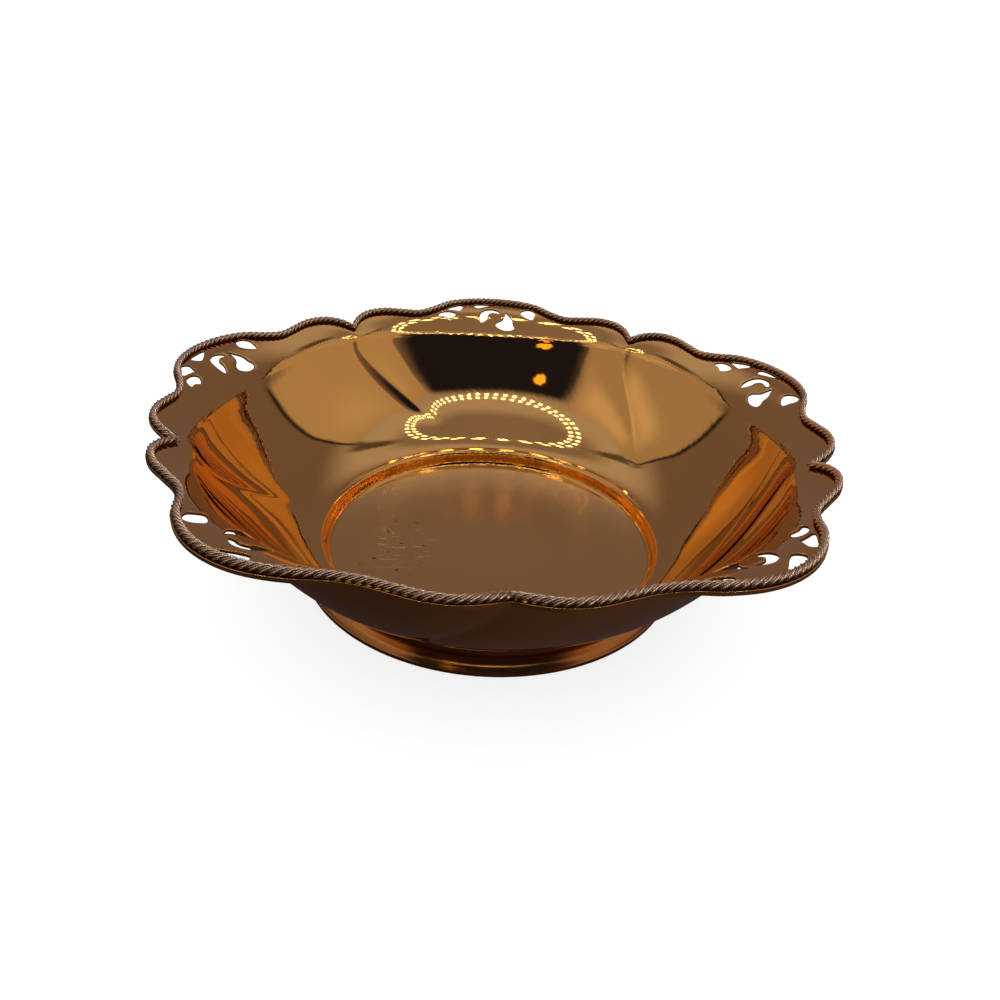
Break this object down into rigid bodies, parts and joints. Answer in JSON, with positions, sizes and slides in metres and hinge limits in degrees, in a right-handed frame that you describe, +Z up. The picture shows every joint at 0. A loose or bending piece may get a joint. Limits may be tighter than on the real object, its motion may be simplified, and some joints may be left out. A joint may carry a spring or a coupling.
{
  "type": "footed dish",
  "caption": "Footed dish of polished copper: round well, swirled lobed wall, pierced fretwork flange, twisted rope border and a low spun foot.",
  "frame": {"origin": "on the bowl's axis at the plane its foot stands on", "axes": "+Z up along the bowl's axis, +Y towards the middle of one of the five lobes, X across"},
  "size_m": [0.2338, 0.2331, 0.0646],
  "materials": {
    "polished_copper": "mirror polished copper",
    "rope_copper": "polished copper, dark in the grooves",
    "foot_copper": "mirror polished copper",
    "solder": "dull soft solder"
  },
  "bodies": {
    "root": {"bowl_body": "polished_copper", "rope_border_back": "rope_copper", "rope_border_left_back": "rope_copper", "rope_border_front_left": "rope_copper", "rope_border_front_right": "rope_copper", "rope_border_right_back": "rope_copper", "foot_ring": "foot_copper", "foot_solder_seam": "solder"}
  },
  "joints": []
}
